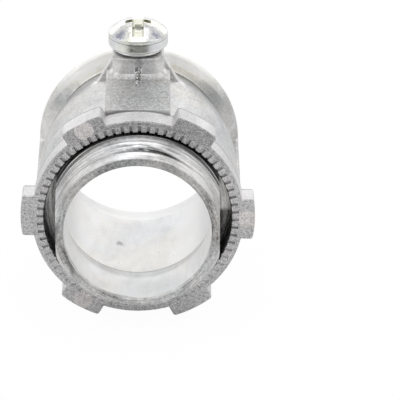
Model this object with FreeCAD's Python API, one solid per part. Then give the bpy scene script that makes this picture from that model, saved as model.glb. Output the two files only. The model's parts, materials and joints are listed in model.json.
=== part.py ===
"""Set-screw connector for thin-wall conduit, 3/4 inch trade size, in millimetres.

The conduit axis is Y. The threaded hub faces -Y, the conduit socket opens to +Y,
and the set screw stands on top, at +Z. The origin is on the axis, in the plane of
the shoulder that seats against the wall of a box.
"""
import FreeCAD, Part
import math
import os

# Conduit socket
conduit_r = 11.71          # outside radius of 3/4 inch thin-wall conduit
conduit_clearance = 0.14   # radial room for the conduit in the socket
stop_y = 0.3               # face that the conduit's end butts against
bell_length = 4.9          # length of the flared mouth
bell_growth = 1.2          # growth of the socket's radius over that length
bell_round = 10.0          # radius that blends the socket into the flare
mouth_round = 0.4          # rounding of the mouth's edge

# Throat through the hub
throat_r = 10.3            # narrowest radius that the wires pass through
throat_draft = 0.2         # growth of the throat's radius towards the hub's front
throat_edge_round = 0.35   # rounding of the throat's front edge
lip_growth = 0.65          # growth of the throat's radius towards the conduit stop
lip_angle = 12.0           # slope of that soft lip, in degrees
lip_round = 12.0           # radius that blends the lip into the throat

# Threaded hub
hub_length = 9.05          # from the shoulder to the front face
nose_face = 1.15           # width of the ring that shows as the front face
nose_edge_round = 0.15
lead_in_length = 1.15      # length of the cone from the nose to the thread's core
lead_in_rise = 0.6         # growth of the radius over that cone
thread_height = 0.85       # height of the hub's thread above its core
hub_flat_wall = 1.32       # from the throat to the flat on each side of the hub

# Barrel, with each wall measured outwards from the socket
barrel_length = 24.0       # from the shoulder to the rear end
shoulder_wall = 3.1
shoulder_round = 0.4
waist_setback = 9.4        # from the rear end to where the barrel starts to fall
waist_wall = 2.45
waist_round = 25.0
neck_setback = 3.2         # from the rear end to the neck's corner, before rounding
neck_wall = 0.85
neck_round = 0.4
rim_width = 1.6            # land of the rear rim
rim_wall = 3.0
rim_front_round = 0.5
rim_back_round = 1.0

# Side rails along the parting line
rail_top = 0.35
rail_height = 2.4
rail_start = 0.4           # behind the shoulder
rail_edge_round = 0.4

# Pad and screw boss on top
pad_rise = 0.1             # of the flat pad above the shoulder
pad_half_width = 4.65
pad_edge_round = 0.3
boss_setback = 9.1         # from the rear end to the screw axis
boss_width = 7.45
boss_corner = 1.9
boss_height = 2.95         # above the pad
boss_edge_round = 0.3
skirt = 0.6                # width and height of the bevel at the boss's foot
gusset_thickness = 1.0
gusset_height = 1.95       # above the pad, at the boss
gusset_spread = 2.55       # how far a gusset's foot reaches out from the boss
gusset_drop = 4.6          # fall of a gusset's edge from the boss to its foot
gusset_edge_round = 0.25
rib_thickness = 1.1        # rib in front of the boss
rib_height = 1.65
rib_length = 3.1
rib_edge_round = 0.2
root_wall = 0.4            # metal between the socket and the roots of these features

# Locknut
nut_gap = 0.3              # from the shoulder to the nut
nut_thickness = 3.75
nut_clearance = 0.28       # between the crests of the hub's thread and the nut
nut_countersink = 0.1
nut_wall = 1.72            # radial width of the nut's ring
nut_edge_round = 0.2
lug_count = 6
lug_height = 1.62          # of the lugs beyond the ring
lug_tip_angle = 21.5       # angle that a lug's tip spans, in degrees
lug_foot_angle = 25.0      # angle that its foot spans
lug_corner = 0.45
lug_turn = 1.1             # how far the nut is turned from standing on two lugs
notch_count = 72
notch_turn = 1.3           # place of the first notch
notch_width = 0.45
notch_length = 0.95        # radial length, from the countersink's edge
notch_depth = 0.4
pin_mark_r = 1.45          # round marks on every second lug
pin_mark_depth = 0.1

# Set screw
screw_core_r = 2.0         # radius under the screw's thread
screw_thread_height = 0.4
screw_clearance = 0.1      # between the crests of that thread and the boss
screw_lift = 0.25          # from the boss to the screw's collar
screw_point = 0.5          # bevel at the screw's tip
collar_wall = 1.6          # width of the collar under the head, beyond the core
collar_height = 0.4
collar_round = 0.15
head_r = 4.34
head_under_rise = 0.3      # rise of the head's underside from the collar to its edge
head_under_round = 0.35
head_side = 1.85           # height of the head's side
head_side_taper = 0.06
head_edge_round = 0.25     # where the side meets the dome
dome_r = 6.17              # radius of the domed top
slot_width = 1.65
slot_depth = 1.25
cross_width = 1.0
cross_length = 4.0         # of the recess at the top of the dome
cross_root = 1.8           # of the recess at its bottom
cross_depth = 2.0

# Sizes that follow from those above
socket_r = conduit_r + conduit_clearance
mouth_r = socket_r + bell_growth
bell_start = barrel_length - bell_length
throat_front_r = throat_r + throat_draft
stop_inner_r = throat_r + lip_growth
lip_y = stop_y - lip_growth / math.tan(math.radians(lip_angle))
hub_front = -hub_length
hub_flat = throat_r + hub_flat_wall
nose_r = throat_front_r + nose_face
thread_core_r = nose_r + lead_in_rise
shoulder_r = socket_r + shoulder_wall
rim_r = socket_r + rim_wall
rim_front = barrel_length - rim_width
boss_y = barrel_length - boss_setback
pad_top = shoulder_r + pad_rise
boss_top = pad_top + boss_height
nut_bore_r = thread_core_r + thread_height + nut_clearance
nut_ring_r = nut_bore_r + nut_wall
lug_r = nut_ring_r + lug_height
nut_back = -nut_gap
nut_front = nut_back - nut_thickness
notch_start_r = nut_bore_r + nut_countersink
notch_end_r = notch_start_r + notch_length
screw_hole_r = screw_core_r + screw_thread_height + screw_clearance
collar_r = screw_core_r + collar_wall
collar_bottom = boss_top + screw_lift
collar_top = collar_bottom + collar_height
head_bottom = collar_top + head_under_rise
head_side_top = head_bottom + head_side
dome_edge_r = head_r - head_side_taper
dome_height = dome_r - math.sqrt(dome_r ** 2 - dome_edge_r ** 2)
head_top = head_side_top + dome_height

same_place = 0.01          # points closer than this are at the same place
axis_point = FreeCAD.Vector(0, 0, 0)
along_y = FreeCAD.Vector(0, 1, 0)
along_z = FreeCAD.Vector(0, 0, 1)


def rounded_outline(corners, to_point):
    """Closed wire through (a, b, rounding) corners, each rounded by a tangent arc."""
    stretches = []
    count = len(corners)
    for index, (a, b, rounding) in enumerate(corners):
        corner = to_point(a, b)
        before = to_point(*corners[index - 1][:2]) - corner
        after = to_point(*corners[(index + 1) % count][:2]) - corner
        half_angle = before.getAngle(after) / 2
        before.normalize()
        after.normalize()
        reach = rounding / math.tan(half_angle)
        inward = before + after
        inward.normalize()
        middle = corner + inward * (rounding / math.sin(half_angle) - rounding)
        stretches.append((corner + before * reach, middle, corner + after * reach, rounding))
    edges = []
    for index, (start, middle, end, rounding) in enumerate(stretches):
        if rounding > 0:
            edges.append(Part.Arc(start, middle, end).toShape())
        next_start = stretches[(index + 1) % count][0]
        edges.append(Part.LineSegment(end, next_start).toShape())
    return Part.Wire(edges)


def turned_about_y(corners):
    """Solid turned about the conduit axis from (radius, y, rounding) corners."""
    outline = rounded_outline(corners, lambda radius, y: FreeCAD.Vector(radius, y, 0))
    return Part.Face(outline).revolve(axis_point, along_y, 360)


def block(x_range, y_range, z_range):
    """Box between the two ends given on each axis."""
    size = (x_range[1] - x_range[0], y_range[1] - y_range[0], z_range[1] - z_range[0])
    return Part.makeBox(*size, FreeCAD.Vector(x_range[0], y_range[0], z_range[0]))


def plate(points, thickness):
    """Flat plate with straight edges through the points, thickened along a vector."""
    return Part.Face(Part.makePolygon(points + points[:1])).extrude(thickness)


def softened(solid, rounding, is_wanted):
    """Solid with a rounding along each edge whose middle is a wanted one."""
    edges = [edge for edge in solid.Edges if is_wanted(edge.CenterOfMass)]
    return solid.makeFillet(rounding, edges)


def rounded_square(width, rounding, z):
    """Wire of a rounded square about the screw axis."""
    half = width / 2
    corners = [(-half, -half, rounding), (half, -half, rounding),
               (half, half, rounding), (-half, half, rounding)]
    return rounded_outline(corners, lambda x, y: FreeCAD.Vector(x, boss_y + y, z))


def make_shell():
    """Hub, barrel and bore, turned as one section."""
    return turned_about_y([
        (throat_front_r, hub_front, throat_edge_round),
        (nose_r, hub_front, nose_edge_round),
        (thread_core_r, hub_front + lead_in_length, 0),
        (thread_core_r, 0, 0),
        (shoulder_r, 0, shoulder_round),
        (socket_r + waist_wall, barrel_length - waist_setback, waist_round),
        (socket_r + neck_wall, barrel_length - neck_setback, neck_round),
        (rim_r, rim_front, rim_front_round),
        (rim_r, barrel_length, rim_back_round),
        (mouth_r, barrel_length, mouth_round),
        (socket_r, bell_start, bell_round),
        (socket_r, stop_y, 0),
        (stop_inner_r, stop_y, 0),
        (throat_r, lip_y, lip_round),
    ])


def make_bore_keepout():
    """The socket and its flare, grown by the wall that other features stay clear of."""
    return turned_about_y([
        (0, hub_front, 0),
        (socket_r + root_wall, hub_front, 0),
        (socket_r + root_wall, bell_start, bell_round),
        (mouth_r + root_wall, barrel_length, 0),
        (0, barrel_length, 0),
    ])


def make_pad_and_boss():
    """Flat pad from the shoulder to the screw, and the boss that takes the screw."""
    pad = block((-pad_half_width, pad_half_width), (0, boss_y), (0, pad_top))
    pad = softened(pad, pad_edge_round, lambda middle: middle.z > pad_top - same_place
                   and abs(middle.x) > pad_half_width - same_place)
    foot_width = boss_width + 2 * skirt
    foot_corner = boss_corner + skirt
    foot = Part.Face(rounded_square(foot_width, foot_corner, 0)).extrude(along_z * pad_top)
    bevel = Part.makeLoft([rounded_square(foot_width, foot_corner, pad_top),
                           rounded_square(boss_width, boss_corner, pad_top + skirt)], True)
    post = Part.Face(rounded_square(boss_width, boss_corner, 0)).extrude(along_z * boss_top)
    post = softened(post, boss_edge_round, lambda middle: middle.z > boss_top - same_place)
    return pad.multiFuse([foot, bevel, post])


def make_stiffeners():
    """Triangular gusset on each side of the boss, and the thin rib in front of it."""
    boss_half = boss_width / 2
    foot_half = boss_half + gusset_spread
    gusset_top = pad_top + gusset_height
    gusset_foot = gusset_top - gusset_drop
    outline = [(-boss_half, gusset_top), (boss_half, gusset_top), (foot_half, gusset_foot),
               (foot_half, 0), (-foot_half, 0), (-foot_half, gusset_foot)]
    gusset_y = boss_y - gusset_thickness / 2
    points = [FreeCAD.Vector(x, gusset_y, z) for x, z in outline]
    gussets = plate(points, along_y * gusset_thickness)
    slope_z = gusset_top - gusset_drop / 2
    gussets = softened(gussets, gusset_edge_round,
                       lambda middle: abs(middle.z - slope_z) < same_place)

    boss_front = boss_y - boss_half
    rib_top = pad_top + rib_height
    outline = [(boss_front - rib_length, pad_top), (boss_front, rib_top),
               (boss_y, rib_top), (boss_y, 0), (boss_front - rib_length, 0)]
    points = [FreeCAD.Vector(-rib_thickness / 2, y, z) for y, z in outline]
    rib = plate(points, FreeCAD.Vector(rib_thickness, 0, 0))
    rib_slope_z = pad_top + rib_height / 2
    rib = softened(rib, rib_edge_round, lambda middle: abs(middle.z - rib_slope_z) < same_place)
    return gussets.fuse(rib)


def make_rails():
    """Ledges left along both sides where the two halves of the die met."""
    rails = block((-rim_r, rim_r), (rail_start, rim_front), (rail_top - rail_height, rail_top))
    middle_z = rail_top - rail_height / 2
    return softened(rails, rail_edge_round, lambda middle: abs(middle.x) > rim_r - same_place
                    and abs(middle.z - middle_z) > same_place)


def make_connector_body():
    """One casting: hub, barrel, rails, pad and boss, with the screw hole through its wall."""
    features = make_pad_and_boss().multiFuse([make_stiffeners(), make_rails()])
    body = make_shell().fuse(features.cut(make_bore_keepout()))
    for side in (-1, 1):
        x_range = sorted((side * hub_flat, side * shoulder_r))
        body = body.cut(block(x_range, (hub_front, 0), (-shoulder_r, shoulder_r)))
    hole = Part.makeCylinder(screw_hole_r, boss_top, FreeCAD.Vector(0, boss_y, 0), along_z)
    return body.cut(hole).removeSplitter()


def make_lug(angle):
    """One lug of the locknut, pointing up at angle 0 and turned about the conduit axis."""
    def at(radius, degrees):
        turn = math.radians(degrees)
        return FreeCAD.Vector(radius * math.sin(turn), nut_front, radius * math.cos(turn))

    foot_r = nut_ring_r - nut_wall / 2
    tip = lug_tip_angle / 2
    foot = lug_foot_angle / 2
    edges = [Part.Arc(at(lug_r, -tip), at(lug_r, 0), at(lug_r, tip)).toShape(),
             Part.LineSegment(at(lug_r, tip), at(foot_r, foot)).toShape(),
             Part.Arc(at(foot_r, foot), at(foot_r, 0), at(foot_r, -foot)).toShape(),
             Part.LineSegment(at(foot_r, -foot), at(lug_r, -tip)).toShape()]
    lug = Part.Face(Part.Wire(edges)).extrude(along_y * nut_thickness)
    tip_z = at(lug_r, tip).z
    middle_y = nut_front + nut_thickness / 2
    lug = softened(lug, lug_corner, lambda middle: abs(middle.z - tip_z) < same_place
                   and abs(middle.y - middle_y) < same_place)
    lug = softened(lug, nut_edge_round, lambda middle: abs(middle.y - middle_y) > same_place
                   and math.hypot(middle.x, middle.z) > (foot_r + nut_ring_r) / 2)
    return lug.rotated(axis_point, along_y, angle)


def make_locknut():
    """Lugged ring with a notched front face, loose on the hub's thread."""
    ring = turned_about_y([
        (notch_start_r, nut_front, 0),
        (nut_ring_r, nut_front, nut_edge_round),
        (nut_ring_r, nut_back, nut_edge_round),
        (notch_start_r, nut_back, 0),
        (nut_bore_r, nut_back - nut_countersink, 0),
        (nut_bore_r, nut_front + nut_countersink, 0),
    ])
    lug_pitch = 360 / lug_count
    lug_angles = [lug_turn + (index + 0.5) * lug_pitch for index in range(lug_count)]
    nut = ring.multiFuse([make_lug(angle) for angle in lug_angles])

    notch = block((-notch_width / 2, notch_width / 2),
                  (nut_front, nut_front + notch_depth),
                  (nut_bore_r, notch_end_r))
    notch_pitch = 360 / notch_count
    cuts = [notch.rotated(axis_point, along_y, notch_turn + index * notch_pitch)
            for index in range(notch_count)]
    mark_place = FreeCAD.Vector(0, nut_front, (notch_end_r + lug_r) / 2)
    mark = Part.makeCylinder(pin_mark_r, pin_mark_depth, mark_place, along_y)
    cuts += [mark.rotated(axis_point, along_y, angle) for angle in lug_angles[1::2]]
    return nut.cut(cuts)


def make_set_screw():
    """Round-head screw with a collar, slot and cross recess, its tip level with the socket."""
    def at(radius, z):
        return FreeCAD.Vector(radius, boss_y, z)

    shank = rounded_outline([
        (0, socket_r, 0),
        (screw_core_r - screw_point, socket_r, 0),
        (screw_core_r, socket_r + screw_point, 0),
        (screw_core_r, collar_bottom, 0),
        (collar_r, collar_bottom, collar_round),
        (collar_r, collar_top, 0),
        (head_r, head_bottom, head_under_round),
        (dome_edge_r, head_side_top, 0),
        (0, head_side_top, 0),
    ], at)
    dome_middle_r = dome_edge_r / 2
    dome_middle_z = head_top - dome_r + math.sqrt(dome_r ** 2 - dome_middle_r ** 2)
    dome = Part.Wire([
        Part.Arc(at(dome_edge_r, head_side_top), at(dome_middle_r, dome_middle_z),
                 at(0, head_top)).toShape(),
        Part.LineSegment(at(0, head_top), at(0, head_side_top)).toShape(),
        Part.LineSegment(at(0, head_side_top), at(dome_edge_r, head_side_top)).toShape(),
    ])
    turned = [Part.Face(wire).revolve(at(0, 0), along_z, 360) for wire in (shank, dome)]
    screw = turned[0].fuse(turned[1]).removeSplitter()
    screw = softened(screw, head_edge_round,
                     lambda middle: abs(middle.z - head_side_top) < same_place)

    slot = block((-slot_width / 2, slot_width / 2), (boss_y - head_r, boss_y + head_r),
                 (head_top - slot_depth, head_top))
    cross_bottom = head_top - cross_depth
    outline = [(-cross_length / 2, head_top), (cross_length / 2, head_top),
               (cross_root / 2, cross_bottom), (-cross_root / 2, cross_bottom)]
    points = [FreeCAD.Vector(x, boss_y - cross_width / 2, z) for x, z in outline]
    arms = plate(points, along_y * cross_width)
    other_arms = arms.rotated(at(0, 0), along_z, 90)
    return screw.cut([slot, arms, other_arms]).removeSplitter()


os.makedirs("parts", exist_ok=True)
parts = {
    "connector_body": make_connector_body(),
    "locknut": make_locknut(),
    "set_screw": make_set_screw(),
}
for name, shape in parts.items():
    shape.exportStep("parts/" + name + ".step")
    print(name, "solids", len(shape.Solids), "valid", shape.isValid(), "volume", round(shape.Volume, 1))
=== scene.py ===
import json
import math

import bpy
from mathutils import Matrix, Vector


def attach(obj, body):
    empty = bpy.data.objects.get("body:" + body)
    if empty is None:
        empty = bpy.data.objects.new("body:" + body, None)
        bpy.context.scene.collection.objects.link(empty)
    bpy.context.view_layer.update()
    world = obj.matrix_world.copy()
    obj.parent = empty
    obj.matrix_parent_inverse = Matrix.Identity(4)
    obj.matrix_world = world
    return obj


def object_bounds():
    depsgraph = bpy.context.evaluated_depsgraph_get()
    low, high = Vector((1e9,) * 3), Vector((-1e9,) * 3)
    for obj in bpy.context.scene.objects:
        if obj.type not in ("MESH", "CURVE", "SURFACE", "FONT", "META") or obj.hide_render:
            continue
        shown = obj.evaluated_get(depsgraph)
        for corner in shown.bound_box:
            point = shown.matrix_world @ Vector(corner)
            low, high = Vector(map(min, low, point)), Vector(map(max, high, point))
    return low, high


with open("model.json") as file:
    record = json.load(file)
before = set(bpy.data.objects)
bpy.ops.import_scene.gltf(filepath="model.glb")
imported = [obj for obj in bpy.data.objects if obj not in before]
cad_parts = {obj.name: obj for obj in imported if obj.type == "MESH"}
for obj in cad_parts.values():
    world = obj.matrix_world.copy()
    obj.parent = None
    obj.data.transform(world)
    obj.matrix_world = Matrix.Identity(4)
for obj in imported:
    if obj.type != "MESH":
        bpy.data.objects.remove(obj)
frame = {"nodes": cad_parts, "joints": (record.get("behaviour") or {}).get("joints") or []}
cad_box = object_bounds()
bpy.ops.object.select_all(action="DESELECT")


# The connector body is a single zinc casting: threaded hub, drafted barrel, flared rim,
# screw boss with its gussets, and a rail down each side where the die closed. It is left
# as cast, light grey, with a mottled sheen where the metal flowed and chilled.

# Sizes are in millimetres: along the axis from the shoulder, or outwards from the axis.
mm = 0.001
rim_front = 20.85
mouth_slope = 0.245
gusset_slope = math.radians(29)
hub_radius = 13.0
thread_start = -7.86
thread_full = -6.25
thread_start_radius = 12.27
thread_crest = 13.11
thread_taper = (thread_crest - thread_start_radius) / (thread_full - thread_start)
thread_oval = 0.965
thread_flat = 11.6
cool_zinc = (0.735, 0.74, 0.75)
warm_zinc = (0.765, 0.75, 0.725)
# Yellowish tint of the painted highlight on the rim's top.
rim_highlight_zinc = (0.79, 0.77, 0.7)


def feed(tree, socket, value):
    """Links a node's output to the socket, or sets the socket to a plain value."""
    if isinstance(value, bpy.types.NodeSocket):
        tree.links.new(value, socket)
    else:
        socket.default_value = value


def node_adder(tree):
    """A short way to add a node, with its inputs given by name, or by number as in0, in1, in2."""

    def add(kind, settings=None, **inputs):
        node = tree.nodes.new(kind)
        for key, value in (settings or {}).items():
            setattr(node, key, value)
        for key, value in inputs.items():
            socket = node.inputs[int(key[2:])] if key.startswith("in") else node.inputs[key]
            feed(tree, socket, value)
        return node

    return add


def new_finish(name):
    """A new material, a way to add nodes to it, and a way to give its shader an input."""
    material = bpy.data.materials.new(name)
    material.use_nodes = True
    tree = material.node_tree
    shader = tree.nodes["Principled BSDF"]

    def give(key, value):
        feed(tree, shader.inputs[key], value)

    return material, node_adder(tree), give


def in_millimetres(add):
    """The place on the object in millimetres, as a vector and as x, y and z."""
    place = add("ShaderNodeTexCoord").outputs["Object"]
    scaled = add("ShaderNodeMapping", Vector=place, Scale=(1000, 1000, 1000)).outputs["Vector"]
    axes = add("ShaderNodeSeparateXYZ", Vector=scaled)
    return scaled, axes.outputs["X"], axes.outputs["Y"], axes.outputs["Z"]


def worked_out(add, operation, *values):
    """One step of arithmetic."""
    inputs = {f"in{number}": value for number, value in enumerate(values)}
    return add("ShaderNodeMath", {"operation": operation}, **inputs).outputs[0]


def sum_of(add, start, *terms):
    """Start plus each value times its weight."""
    total = start
    for value, weight in terms:
        total = worked_out(add, "MULTIPLY_ADD", value, weight, total)
    return total


def product(add, *values):
    total = values[0]
    for value in values[1:]:
        total = worked_out(add, "MULTIPLY", total, value)
    return total


def offset(add, value, start):
    return worked_out(add, "SUBTRACT", value, start)


def size_of(add, value):
    return worked_out(add, "ABSOLUTE", value)


def distance_from_axis(add, across, up):
    squares = sum_of(add, product(add, across, across), (product(add, up, up), 1.0))
    return worked_out(add, "SQRT", squares)


def distance_to(add, place, point):
    return add("ShaderNodeVectorMath", {"operation": "DISTANCE"}, in0=place, in1=point).outputs["Value"]


def fade(add, value, start, end, first=0.0, last=1.0):
    """Smooth change from the first result to the last as the value goes from start to end."""
    limits = {"From Min": start, "From Max": end, "To Min": first, "To Max": last}
    node = add("ShaderNodeMapRange", {"interpolation_type": "SMOOTHSTEP"}, Value=value, **limits)
    return node.outputs["Result"]


def within(add, value, start, full, fading, end):
    """One from full to fading, and nothing outside start and end."""
    return product(add, fade(add, value, start, full), fade(add, value, end, fading))


def about(add, value, middle, edge, core):
    """One within core of the middle, and nothing past edge."""
    return fade(add, size_of(add, offset(add, value, middle)), edge, core)


def outside_of(add, mask):
    return fade(add, mask, 1.0, 0.0)


def mottle(add, place, scale, detail=3.0, roughness=0.55, distortion=0.0, stretch=(1, 1, 1)):
    """Cloudy pattern about zero, with so many spots to the millimetre."""
    stretched = add("ShaderNodeMapping", Vector=place, Scale=stretch).outputs["Vector"]
    noise = add("ShaderNodeTexNoise", Vector=stretched, Scale=scale, Detail=detail,
                Roughness=roughness, Distortion=distortion).outputs["Fac"]
    return offset(add, noise, 0.5)


def thin_lines(add, pattern, width):
    """One along the lines where the pattern passes through zero."""
    return fade(add, size_of(add, pattern), 0.0, width, 1.0, 0.0)


def ragged_spot(add, place, middle, scale, raggedness, edge, core):
    """Spot about a point, with a ragged edge."""
    reach = sum_of(add, distance_to(add, place, middle), (mottle(add, place, scale), raggedness))
    return fade(add, reach, edge, core)


def tinted(add, factor, first, second):
    """Colour that goes from the first to the second."""
    first, second = (colour if isinstance(colour, bpy.types.NodeSocket) else (*colour, 1)
                     for colour in (first, second))
    return add("ShaderNodeMix", {"data_type": "RGBA"}, Factor=factor, in6=first, in7=second).outputs[2]


def lightened(add, colour, amount):
    return add("ShaderNodeVectorMath", {"operation": "SCALE"}, in0=colour, Scale=amount).outputs[0]


def emboss(add, give, strength, relief):
    """Bumps with a height of about a tenth of a millimetre."""
    bump = add("ShaderNodeBump", Strength=strength, Distance=0.1 * mm, Height=relief)
    give("Normal", bump.outputs["Normal"])


body_zinc, add, give = new_finish("body_zinc")
place, x, y, z = in_millimetres(add)
side = size_of(add, x)
radius = distance_from_axis(add, x, z)

# Where each surface of the casting lies, in millimetres: y along the axis from the shoulder,
# z upwards, side out from the middle plane, and radius from the axis.
in_socket = product(add, fade(add, radius, 12.1, 11.95), fade(add, y, -8.5, -8.1))
in_mouth = product(add, fade(add, y, 18.5, 19.5),
                   fade(add, sum_of(add, radius, (y, -mouth_slope)), 7.45, 7.3))
in_bore = worked_out(add, "MAXIMUM", in_socket, in_mouth)
# Painted light: the bore's sides, its right side and its rear mouth are made lighter. Painted shade darkens
# the band of the stop lip.
painted_light_bore_walls = product(add, in_bore, fade(add, side, 4.0, 9.0))
painted_light_bore_right = product(add, in_bore, fade(add, x, 4.0, 9.0), fade(add, y, 0.2, 0.4))
painted_shade_lip = product(add, in_bore, within(add, y, -3.2, -1.9, 0.3, 0.35))

on_hub = product(add, fade(add, y, 0.1, 0.0), outside_of(add, in_bore))
# Painted shade and light: the nose's flat front is made darker overall, and lighter low down and on the
# right.
on_nose = fade(add, y, -8.85, -8.98)
painted_light_nose_low = product(add, on_nose, fade(add, z, -4.0, -9.0))
painted_light_nose_right = product(add, on_nose, fade(add, x, 4.0, 10.0))
# Painted shade in the grooves of the hub's thread, found from how deep each point lies below the crest.
tapered_crest = sum_of(add, thread_crest - thread_taper * thread_full, (y, thread_taper))
crest_radius = worked_out(add, "MINIMUM", tapered_crest, thread_crest)
oval_radius = distance_from_axis(add, product(add, x, 1 / thread_oval), z)
thread_depth = offset(add, crest_radius, oval_radius)
painted_shade_grooves = product(add, on_hub, fade(add, thread_depth, 0.05, 0.2), fade(add, y, -7.8, -7.5),
                     fade(add, side, thread_flat, thread_flat - 0.1))
# Painted highlight: the hub's full thread behind the taper is made lighter.
painted_highlight_crest = product(add, on_hub, fade(add, y, -6.3, -6.1))
# Painted shadow on the hub where it runs in under the nut.
painted_shadow_beneath_nut = product(add, on_hub, within(add, y, -3.7, -3.3, -0.2, -0.1), fade(add, radius, 13.3, 13.2))

# Painted shade on the shoulder face seen past the nut: darker overall, more so on the left and at the lower
# right.
on_shoulder = product(add, within(add, y, -0.1, -0.02, 0.02, 0.1), fade(add, radius, 14.2, 13.9))
painted_shade_shoulder_left = product(add, on_shoulder, fade(add, x, 2.0, -2.0))
painted_shade_shoulder_low = product(add, on_shoulder, fade(add, z, -0.2, -1.0), fade(add, x, -2.0, 2.0))

on_pad = product(add, within(add, z, 14.7, 14.95, 15.2, 15.5), fade(add, side, 4.8, 4.6),
                 within(add, y, 0.0, 0.1, 10.7, 11.2))
# Painted light: the pad's front face, in the gap behind the nut, is made lighter and less metallic.
painted_light_pad_front = product(add, within(add, y, -0.1, -0.02, 0.08, 0.2), fade(add, z, 13.4, 13.8))
on_post = product(add, fade(add, z, 15.0, 15.4), fade(add, side, 4.9, 4.5))
# Painted shade on the boss under the screw's head and at the foot of its front.
painted_shade_beneath_head = product(add, on_post, fade(add, z, 16.9, 17.6))
painted_shade_boss_foot = product(add, on_post, fade(add, z, 15.9, 15.5), fade(add, y, 11.6, 11.2))
# The gussets' faces are made a little darker, and a painted highlight runs along their sloping edges.
on_gussets = product(add, fade(add, radius, 14.75, 14.9), within(add, side, 3.9, 4.1, 7.0, 7.5),
                     within(add, y, 10.0, 11.5, 20.2, 20.8))
above_slope = sum_of(add, -11.5, (side, math.cos(gusset_slope)), (z, math.sin(gusset_slope)))
painted_highlight_gusset_slope = product(add, fade(add, above_slope, -0.3, -0.1), within(add, side, 3.8, 4.0, 6.6, 6.8),
                      within(add, y, 14.2, 14.4, 15.4, 15.6), fade(add, z, 12.3, 12.6))

clear_of_bore = fade(add, radius, 12.2, 12.4)
behind_boss = fade(add, side, 8.0, 6.0)
# Painted shade on the barrel in front of the rim, growing towards the rim, starting later beside the boss,
# weaker low on the sides, and cooler in tint.
painted_shade_neck = product(add, fade(add, sum_of(add, y, (behind_boss, -3.0)), 11.0, 17.0),
                  fade(add, y, rim_front + 0.05, rim_front - 0.1), clear_of_bore,
                  fade(add, radius, 14.8, 14.65), fade(add, z, 1.0, 9.0, 0.3, 1.0))
on_rim = product(add, fade(add, y, rim_front - 0.1, rim_front + 0.1), clear_of_bore,
                 outside_of(add, in_bore))
# Painted light on the rim: lighter on the left side, and lighter and yellower on its top. Painted shade
# along its foot at the neck, on the upper part.
painted_light_rim_left = product(add, on_rim, fade(add, x, -2.0, -9.0))
painted_highlight_rim_top = product(add, on_rim, fade(add, z, 6.5, 11.5))
painted_shade_rim_foot = product(add, on_rim, fade(add, sum_of(add, radius, (z, 0.11)), 15.2, 14.7),
                   fade(add, z, 4.0, 8.0))

# What the metal shows there: clouds and streaks from its flow, grain, and on the hub the
# wear of the nut, which follows the thread and runs on over the flat nose.
flow = mottle(add, place, 0.17, 5, 0.6, 1.2)
clouds = product(add, flow, sum_of(add, 1.0, (in_bore, -0.6)))
streaks = mottle(add, place, 0.5, 3, 0.6, 0.8, (1.0, 0.28, 1.0))
rim_clouds = product(add, on_rim, mottle(add, place, 0.35, 4, 0.6, 1.0))
chill_lines = thin_lines(add, mottle(add, place, 0.3, 2, 0.5, 1.6), 0.022)
skin = sum_of(add, 1.0, (in_bore, -0.85), (on_pad, 0.6), (on_hub, -0.4), (on_nose, 0.6), (on_rim, -0.5))
grain = product(add, mottle(add, place, 2.2, 3, 0.65), skin)
fine_grain = product(add, mottle(add, place, 5.0, 2, 0.6), skin)
pit = ragged_spot(add, place, (-2.75, 10.4, -11.5), 1.6, 1.1, 0.75, 0.3)
# A ragged darker spot on the boss just under the screw's head.
dark_spot_below_head = product(add, on_post, ragged_spot(add, place, (0.1, 11.2, 17.5), 1.2, 1.6, 1.0, 0.4))

to_hub_wall = worked_out(add, "DIVIDE", hub_radius, radius)
along_thread = add("ShaderNodeCombineXYZ", X=product(add, x, to_hub_wall),
                   Y=sum_of(add, y, (radius, 2.0)), Z=product(add, z, to_hub_wall)).outputs["Vector"]
high_nose = product(add, on_nose, fade(add, z, 4.0, 9.0))
rubbed = product(add, on_hub, fade(add, high_nose, 0.0, 1.0, 1.0, 0.3))
worn = product(add, mottle(add, along_thread, 0.8, 4, 0.65, 0.6, (0.2, 1.3, 0.2)), rubbed)
smears = product(add, mottle(add, along_thread, 0.3, 2, 0.5, 0.8, (0.4, 1.6, 0.4)), rubbed)
scratch_pattern = mottle(add, along_thread, 1.0, 2, 0.5, 0.6, (0.1, 1.6, 0.1))
scratches = product(add, rubbed, thin_lines(add, scratch_pattern, 0.05))
smear_pattern = mottle(add, along_thread, 0.6, 4, 0.6, 1.0, (0.4, 1.2, 0.4))
nose_smear = product(add, on_hub, about(add, x, 1.0, 6.5, 2.0), fade(add, z, 0.0, 5.0),
                     within(add, y, -7.9, -7.5, -6.8, -6.35), fade(add, smear_pattern, -0.1, 0.1))

# The tone adds the painted light and shade marked above to the metal's own clouds, streaks, grain, pit and
# wear.
tone = sum_of(
    add, 1.0,
    (clouds, 0.55), (streaks, 0.4), (grain, 0.8), (fine_grain, 0.7), (chill_lines, 0.05), (pit, -0.5),
    (in_bore, 0.24), (painted_light_bore_walls, 0.12), (painted_light_bore_right, 0.16), (in_mouth, 0.3), (painted_shade_lip, -0.28),
    (on_hub, 0.1), (on_nose, -0.45), (painted_light_nose_low, 0.32), (painted_light_nose_right, 0.12), (painted_highlight_crest, 0.25),
    (painted_shade_grooves, -0.55), (painted_shadow_beneath_nut, -0.9), (worn, 1.1), (smears, 1.3), (scratches, -0.3),
    (nose_smear, -0.85), (on_shoulder, -0.3), (painted_shade_shoulder_left, -0.49), (painted_shade_shoulder_low, -0.8),
    (on_pad, -0.13), (painted_light_pad_front, 0.2), (on_post, 0.2), (painted_shade_beneath_head, -0.2), (painted_shade_boss_foot, -0.3),
    (dark_spot_below_head, -0.3), (on_gussets, -0.08), (painted_highlight_gusset_slope, 0.38), (painted_shade_neck, -0.6), (on_rim, -0.04),
    (painted_light_rim_left, 0.25), (painted_highlight_rim_top, 0.5), (painted_shade_rim_foot, -0.35), (rim_clouds, 0.7),
)
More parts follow.
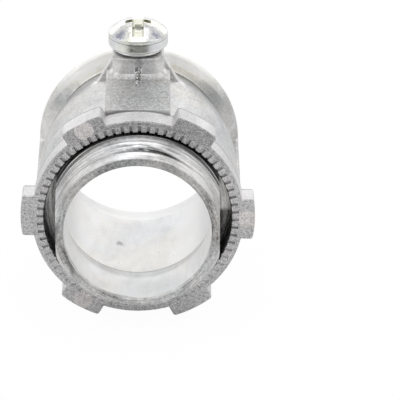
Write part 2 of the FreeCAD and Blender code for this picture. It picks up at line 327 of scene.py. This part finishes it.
warm_patches = fade(add, mottle(add, place, 0.11, 2), -0.15, 0.15)
# The random warm patches, pulled towards the cool tint in the painted shade of the neck and the rim's foot.
warm_tint_and_cool_shade = sum_of(add, warm_patches, (painted_shade_neck, -0.8), (painted_shade_rim_foot, -0.8))
zinc = tinted(add, painted_highlight_rim_top, tinted(add, warm_tint_and_cool_shade, cool_zinc, warm_zinc), rim_highlight_zinc)
give("Base Color", lightened(add, zinc, tone))
give("Roughness", sum_of(add, 0.36, (flow, -0.35), (grain, 0.3), (in_bore, -0.02), (on_pad, 0.1)))
give("Metallic", sum_of(add, 0.7, (in_bore, -0.05), (on_hub, 0.2), (painted_light_pad_front, -0.6)))
emboss(add, give, 0.6, sum_of(add, 0.0, (flow, 0.9), (streaks, 0.5), (grain, 0.5), (fine_grain, 0.2),
                              (worn, 0.5)))
frame["nodes"]["connector_body"].material_slots[0].material = body_zinc


# The hub's thread is cast with the body: a right-hand ridge, 14 turns to the inch, with
# wide rounded crests and narrow grooves, tapered at the nose so that the nut starts easily.
# It runs out towards the flat on each side, where the die parted.
thread_pitch = 1.814
thread_end = -0.05
thread_inside = 12.05
first_ridge = -8.17
ridge_profile = [(12.0, -0.89), (12.22, -0.88), (12.8, -0.7), (12.9, -0.62), (13.0, -0.35), (13.08, 0.1),
                 (13.1, 0.5), (13.06, 0.6), (12.96, 0.66), (12.22, 0.88), (12.0, 0.89)]


def deselect_but(piece):
    bpy.ops.object.select_all(action="DESELECT")
    piece.select_set(True)
    bpy.context.view_layer.objects.active = piece


def outline_piece(name, corners):
    """New piece that is one closed line through corners in millimetres, ready to be turned."""
    mesh = bpy.data.meshes.new(name)
    count = len(corners)
    points = [tuple(length * mm for length in corner) for corner in corners]
    mesh.from_pydata(points, [(i, (i + 1) % count) for i in range(count)], [])
    piece = bpy.data.objects.new(name, mesh)
    bpy.context.scene.collection.objects.link(piece)
    deselect_but(piece)
    return piece


def close_up():
    """Merges doubles, points faces outwards and leaves edit mode."""
    bpy.ops.mesh.select_all(action="SELECT")
    bpy.ops.mesh.remove_doubles(threshold=1e-7)
    bpy.ops.mesh.normals_make_consistent(inside=False)
    bpy.ops.object.mode_set(mode="OBJECT")


def helical_ridge(name, corners, axis, pitch, turns, steps):
    """Closed ridge that climbs right-handed about an axis through the origin."""
    ridge = outline_piece(name, corners)
    climb = ridge.modifiers.new("climb", "SCREW")
    climb.axis = axis
    climb.angle = 2 * math.pi * turns
    climb.screw_offset = pitch * mm * turns
    climb.steps = climb.render_steps = int(steps * turns)
    bpy.ops.object.modifier_apply(modifier="climb")
    bpy.ops.object.mode_set(mode="EDIT")
    bpy.ops.mesh.select_mode(type="EDGE")
    bpy.ops.mesh.select_all(action="DESELECT")
    bpy.ops.mesh.select_non_manifold()
    bpy.ops.mesh.fill()
    bpy.ops.mesh.select_mode(type="VERT")
    close_up()
    return ridge


def trimmed_to(piece, other):
    """Keeps what both pieces share, and deletes the other."""
    trim = piece.modifiers.new("trim", "BOOLEAN")
    trim.operation = "INTERSECT"
    trim.solver = "EXACT"
    trim.object = other
    deselect_but(piece)
    bpy.ops.object.modifier_apply(modifier="trim")
    bpy.data.objects.remove(other)
    piece.data.materials.clear()


thread_blank = outline_piece("thread_blank", [
    (thread_inside, thread_start, 0),
    (thread_start_radius, thread_start, 0),
    (thread_crest, thread_full, 0),
    (thread_crest, thread_end, 0),
    (thread_inside, thread_end, 0),
])
bpy.ops.object.mode_set(mode="EDIT")
bpy.ops.mesh.select_all(action="SELECT")
bpy.ops.mesh.spin(steps=180, angle=2 * math.pi, center=(0, 0, 0), axis=(0, 1, 0))
bpy.ops.mesh.select_all(action="SELECT")
bpy.ops.transform.resize(value=(thread_oval, 1, 1), center_override=(0, 0, 0))
close_up()
bpy.ops.object.mode_set(mode="EDIT")
for sign in (-1, 1):
    bpy.ops.mesh.select_all(action="SELECT")
    bpy.ops.mesh.bisect(plane_co=(sign * thread_flat * mm, 0, 0), plane_no=(sign, 0, 0),
                        use_fill=True, clear_outer=True)
close_up()

hub_thread = helical_ridge("hub_thread", [(r, first_ridge + along, 0) for r, along in ridge_profile],
                           "Y", thread_pitch, turns=5, steps=96)
trimmed_to(hub_thread, thread_blank)
bpy.ops.object.shade_smooth_by_angle(angle=math.radians(18))
hub_thread.data.materials.append(body_zinc)
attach(hub_thread, "connector_body")


# The gate scar is a rough strip on the front rib's sloping edge, where the metal ran into
# the die and the runner was broken off after casting.
rib_rise = 1.65
rib_run = 3.1
rib_slope = math.atan2(rib_rise, rib_run)
scar_width = 0.9
scar_length = 3.4
scar_roughness = 0.2
scar_y = 9.605
scar_z = 15.92
torn_dark = (0.2, 0.19, 0.19)
torn_bright = (0.8, 0.79, 0.78)
bpy.ops.object.select_all(action="DESELECT")
bpy.ops.mesh.primitive_grid_add(x_subdivisions=7, y_subdivisions=26, size=mm)
gate_scar = bpy.context.active_object
gate_scar.name = "gate_scar"
bpy.ops.object.mode_set(mode="EDIT")
bpy.ops.mesh.select_all(action="SELECT")
bpy.ops.transform.resize(value=(scar_width, scar_length, 1.0))
bpy.ops.transform.vertex_random(offset=scar_roughness * mm, normal=1.0, seed=4)
bpy.ops.mesh.subdivide(number_cuts=2, smoothness=1.0)
bpy.ops.mesh.region_to_loop()
bpy.ops.transform.translate(value=(0, 0, -scar_roughness * mm))
bpy.ops.mesh.select_all(action="SELECT")
bpy.ops.transform.rotate(value=-rib_slope, orient_axis="X", center_override=(0, 0, 0))
bpy.ops.transform.translate(value=(0, scar_y * mm, scar_z * mm))
close_up()
bpy.ops.object.shade_smooth()
torn_zinc, add, give = new_finish("torn_zinc")
place = in_millimetres(add)[0]
crumbs = fade(add, mottle(add, place, 2.0, 3, 0.7), -0.06, 0.16)
give("Base Color", tinted(add, crumbs, torn_dark, torn_bright))
give("Metallic", 1.0)
give("Roughness", 0.45)
gate_scar.data.materials.append(torn_zinc)
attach(gate_scar, "connector_body")


# The locknut is cast from the same zinc, a little duller, with a fine grain on its notched
# front face and three round marks where pins pushed it out of the die. It is threaded
# inside and turns on the hub.
pin_circle = 15.57
pin_radius = 1.4
first_pin_angle = 91.1
dull_zinc = (0.69, 0.68, 0.685)
pin_zinc = (0.715, 0.68, 0.675)
nut_zinc, add, give = new_finish("nut_zinc")
place, x, y, z = in_millimetres(add)
radius = distance_from_axis(add, x, z)

on_face = fade(add, y, -3.6, -3.9)
# Painted shade inside the nut's threaded bore.
in_bore = fade(add, radius, 13.5, 13.44)
# Painted shade in the notches, deeper in the top ones, and painted light in the low ones. Painted highlight
# on the raised teeth round the bore on the upper part of the face.
in_notches = product(add, fade(add, radius, 14.5, 14.44), within(add, y, -4.02, -3.9, -3.6, -3.4))
painted_shade_notches_top = product(add, in_notches, fade(add, z, 10.5, 12.5))
painted_light_notches_low = product(add, in_notches, fade(add, z, -3.0, -8.0))
painted_highlight_teeth = product(add, on_face, fade(add, radius, 14.6, 14.5), fade(add, z, 2.0, 8.0))
# Painted highlight on the nut's outer ring at its left and right.
painted_highlight_flanks = product(add, fade(add, radius, 15.0, 15.1), fade(add, y, -3.7, -3.5),
                    fade(add, size_of(add, x), 7.0, 10.0))
# Painted shadow along the nut's back edge, at the gap to the shoulder.
painted_shadow_rear_edge = fade(add, y, -0.75, -0.5)
pin_marks = 0.0
for third in range(3):
    angle = math.radians(first_pin_angle + 120 * third)
    away = distance_from_axis(add, offset(add, x, pin_circle * math.sin(angle)),
                              offset(add, z, pin_circle * math.cos(angle)))
    mark = product(add, on_face, fade(add, away, pin_radius + 0.05, pin_radius - 0.05))
    pin_marks = sum_of(add, pin_marks, (mark, 1.0))
# Painted shade over the upper part of the front face, away from the pin marks.
painted_shade_face_top = product(add, on_face, fade(add, z, 6.0, 13.0), outside_of(add, pin_marks))

clouds = mottle(add, place, 0.2, 4, 0.6, 0.8)
grain = mottle(add, place, 2.2, 3, 0.7)
fine_grain = mottle(add, place, 4.5, 2, 0.7)
face_grain = product(add, grain, on_face)
fine_face_grain = product(add, fine_grain, on_face)
# The tone adds the painted light and shade marked above to the zinc's own clouds, grain and pin marks.
tone = sum_of(
    add, 1.14,
    (clouds, 0.4), (grain, 0.8), (face_grain, 0.4), (fine_grain, 0.3), (fine_face_grain, 1.5),
    (on_face, -0.15), (painted_shade_face_top, -0.27), (pin_marks, 0.16), (painted_highlight_teeth, 0.2), (in_notches, -0.12),
    (painted_shade_notches_top, -0.3), (painted_light_notches_low, 0.6), (in_bore, -0.9), (painted_highlight_flanks, 0.14), (painted_shadow_rear_edge, -0.75),
)
give("Base Color", lightened(add, tinted(add, pin_marks, dull_zinc, pin_zinc), tone))
give("Roughness", sum_of(add, 0.42, (clouds, -0.3), (grain, 0.3), (on_face, 0.06), (pin_marks, -0.06)))
give("Metallic", 0.7)
thread_waves = worked_out(add, "SINE", product(add, y, 2 * math.pi / thread_pitch))
bore_thread = product(add, thread_waves, in_bore)
emboss(add, give, 0.7, sum_of(add, 0.0, (clouds, 0.7), (grain, 0.7), (fine_grain, 0.4), (bore_thread, 1.6)))
frame["nodes"]["locknut"].material_slots[0].material = nut_zinc


# The set screw is steel with a bright clear zinc plate that shows faint yellow and blue
# tints. It is cold-headed, with a slot and a cross recess, and screws down through the boss.
screw_joint = next(joint for joint in frame["joints"] if joint["name"] == "set_screw_turn")
screw_y = screw_joint["pos_m"][1] / mm
dome_centre = (0, screw_y, 16.27)
dome_radius = 6.0
blue_plate = (0.91, 0.93, 0.95)
yellow_plate = (0.96, 0.96, 0.89)
# Bluish tint of the painted reflection spots on the dome.
reflection_blue_plate = (0.8, 0.82, 0.98)
recess_plate = (0.88, 0.88, 0.74)
screw_plate, add, give = new_finish("screw_plate")
place, x, y, z = in_millimetres(add)
side = size_of(add, x)
clouds = mottle(add, place, 0.45, 4, 0.6, 0.8)
grain = mottle(add, place, 3.0, 3, 0.6)

below_dome = fade(add, distance_to(add, place, dome_centre), dome_radius + 0.05, dome_radius - 0.05)
# Painted shade in the slot and cross recess, deepest in the cross and along the slot's sides.
in_recess = product(add, below_dome, fade(add, z, 20.7, 20.9))
painted_shade_cross = product(add, in_recess, fade(add, z, 21.1, 20.6))
painted_shade_slot_sides = product(add, in_recess, within(add, side, 0.5, 0.8, 0.84, 0.9))
on_dome = product(add, fade(add, z, 20.75, 20.9), outside_of(add, in_recess))
# Painted highlight on the dome's front left and right, lighter and less metallic.
painted_highlight_dome_flanks = product(add, on_dome, fade(add, y, 14.2, 12.8), fade(add, side, 1.0, 1.8))
# Painted reflections: two bluish dark spots on the front of the dome, left and right.
from_reflection_spot = distance_from_axis(add, offset(add, side, 2.56), offset(add, y, 12.2))
painted_reflection_spots = product(add, on_dome, fade(add, sum_of(add, from_reflection_spot, (clouds, 1.6), (grain, 1.2)), 0.85, 0.1))
# Painted shade on the head's side band, with a painted dark reflection across its front, a painted dark
# line round it where the dome's edge stands, and a painted light line near its foot.
on_band = fade(add, z, 20.85, 20.7)
painted_reflection_band_front = product(add, on_band, fade(add, y, 13.0, 11.0), fade(add, side, 2.4, 0.8),
                     within(add, z, 19.1, 19.25, 20.3, 20.4))
painted_edge_line = product(add, on_band, about(add, z, 20.33, 0.12, 0.04))
painted_highlight_line_low = product(add, on_band, about(add, z, 19.22, 0.1, 0.04))
# Painted light on the underside of the head and its collar.
painted_light_below_band = fade(add, z, 19.0, 18.9)

# The tone adds the painted light, shade and reflections marked above to the plate's own clouds and grain.
tone = sum_of(
    add, 1.13,
    (clouds, 0.4), (grain, 0.25), (in_recess, -0.21), (painted_shade_slot_sides, -0.4), (painted_shade_cross, -0.5),
    (on_dome, -0.12), (painted_highlight_dome_flanks, 0.1), (painted_reflection_spots, -0.5), (on_band, -0.14), (painted_reflection_band_front, -0.55),
    (painted_edge_line, -0.35), (painted_highlight_line_low, 0.2), (painted_light_below_band, 0.2),
)
yellowing = fade(add, mottle(add, place, 0.3, 2, 0.5, 0.5), -0.12, 0.12)
plate = tinted(add, yellowing, blue_plate, yellow_plate)
plate = tinted(add, painted_reflection_spots, plate, reflection_blue_plate)
plate = tinted(add, in_recess, plate, recess_plate)
give("Base Color", lightened(add, plate, tone))
give("Roughness", sum_of(add, 0.2, (clouds, -0.3), (grain, 0.2)))
give("Metallic", sum_of(add, 1.0, (painted_highlight_dome_flanks, -0.6)))
emboss(add, give, 0.6, sum_of(add, 0.0, (clouds, 2.6), (grain, 0.25)))
frame["nodes"]["set_screw"].material_slots[0].material = screw_plate


# The screw's thread is rolled on its shank, 24 turns to the inch, and shows below the
# collar and at the tip in the socket's wall.
screw_pitch = 1.058
lowest_ridge = 12.75
half_profile = [(1.9, 0.46), (2.02, 0.44), (2.3, 0.2), (2.38, 0.14), (2.4, 0.06)]
screw_profile = [(r, -half) for r, half in half_profile] + half_profile[::-1]
screw_thread = helical_ridge("screw_thread", [(r, 0, lowest_ridge + along) for r, along in screw_profile],
                             "Z", screw_pitch, turns=4.8, steps=48)
bpy.ops.object.mode_set(mode="EDIT")
bpy.ops.mesh.select_all(action="SELECT")
bpy.ops.transform.translate(value=(0, screw_y * mm, 0))
close_up()
bpy.ops.object.shade_smooth_by_angle(angle=math.radians(30))
screw_thread.data.materials.append(screw_plate)
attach(screw_thread, "set_screw")


# The studio: a pale floor that the part lies on, large soft lamps above, behind and to both
# sides, and white paper all round, which the metal mirrors.
floor_grey = (0.86, 0.86, 0.86, 1)
white = (1, 1, 1, 1)
bpy.ops.object.select_all(action="DESELECT")
bpy.ops.mesh.primitive_plane_add(size=6.0, location=(0, 0, cad_box[0][2]))
floor = bpy.context.active_object
floor.name = "floor"
bpy.ops.object.transform_apply(location=True, rotation=True, scale=True)
floor_paper, add, give = new_finish("floor_paper")
give("Base Color", floor_grey)
give("Roughness", 0.9)
give("Specular IOR Level", 0.0)
floor_tree = floor_paper.node_tree
rays = add("ShaderNodeLightPath").outputs
share = sum_of(add, 0.0, (rays["Is Camera Ray"], 0.93), (rays["Is Transmission Ray"], 0.93),
               (rays["Is Glossy Ray"], 0.2))
glow = add("ShaderNodeEmission", Color=white, Strength=1.03)
paper = add("ShaderNodeMixShader", Fac=share, in1=floor_tree.nodes["Principled BSDF"].outputs[0],
            in2=glow.outputs[0])
feed(floor_tree, floor_tree.nodes["Material Output"].inputs["Surface"], paper.outputs[0])
floor.data.materials.append(floor_paper)

studio = bpy.data.worlds.new("studio")
bpy.context.scene.world = studio
studio.use_nodes = True
add = node_adder(studio.node_tree)
rays = add("ShaderNodeLightPath").outputs
level = sum_of(add, 0.3, (rays["Is Camera Ray"], 0.7), (rays["Is Transmission Ray"], 0.7),
               (rays["Is Glossy Ray"], 0.12))
surround = studio.node_tree.nodes["Background"]
feed(studio.node_tree, surround.inputs["Color"], white)
feed(studio.node_tree, surround.inputs["Strength"], level)

middle_of_part = Vector((0, 7, 0)) * mm


def soft_lamp(name, place, width, height, power):
    """Soft box that points at the middle of the part."""
    light = bpy.data.lights.new(name, "AREA")
    light.shape = "RECTANGLE"
    light.size = width
    light.size_y = height
    light.energy = power
    lamp = bpy.data.objects.new(name, light)
    bpy.context.scene.collection.objects.link(lamp)
    lamp.location = place
    lamp.rotation_euler = (middle_of_part - Vector(place)).to_track_quat("-Z", "Y").to_euler()


soft_lamp("rear_lamp", (0, 0.85, 0.3), 1.8, 0.75, 2.9)
soft_lamp("left_lamp", (-0.6, -0.1, 0.42), 0.6, 0.6, 0.9)
soft_lamp("right_lamp", (0.6, -0.1, 0.42), 0.6, 0.6, 0.85)
soft_lamp("top_lamp", (0, -0.02, 0.8), 0.7, 1.25, 2.3)

camera_place = Vector((3.77, -406.04, 202.21)) * mm
camera_right = Vector((0.9999, -0.0105, 0.0043)).normalized()
camera_back = camera_right.cross(Vector((0.0008, 0.4443, 0.8959))).normalized()
camera_up = camera_back.cross(camera_right)
camera_data = bpy.data.cameras.new("camera")
camera_data.sensor_width = 36
camera_data.lens = 284.1
camera_data.clip_start = 0.01
camera = bpy.data.objects.new("camera", camera_data)
bpy.context.scene.collection.objects.link(camera)
facing = Matrix((camera_right, camera_up, camera_back)).transposed()
camera.matrix_world = Matrix.Translation(camera_place) @ facing.to_4x4()
bpy.context.scene.camera = camera
bpy.context.scene.view_settings.view_transform = "Standard"
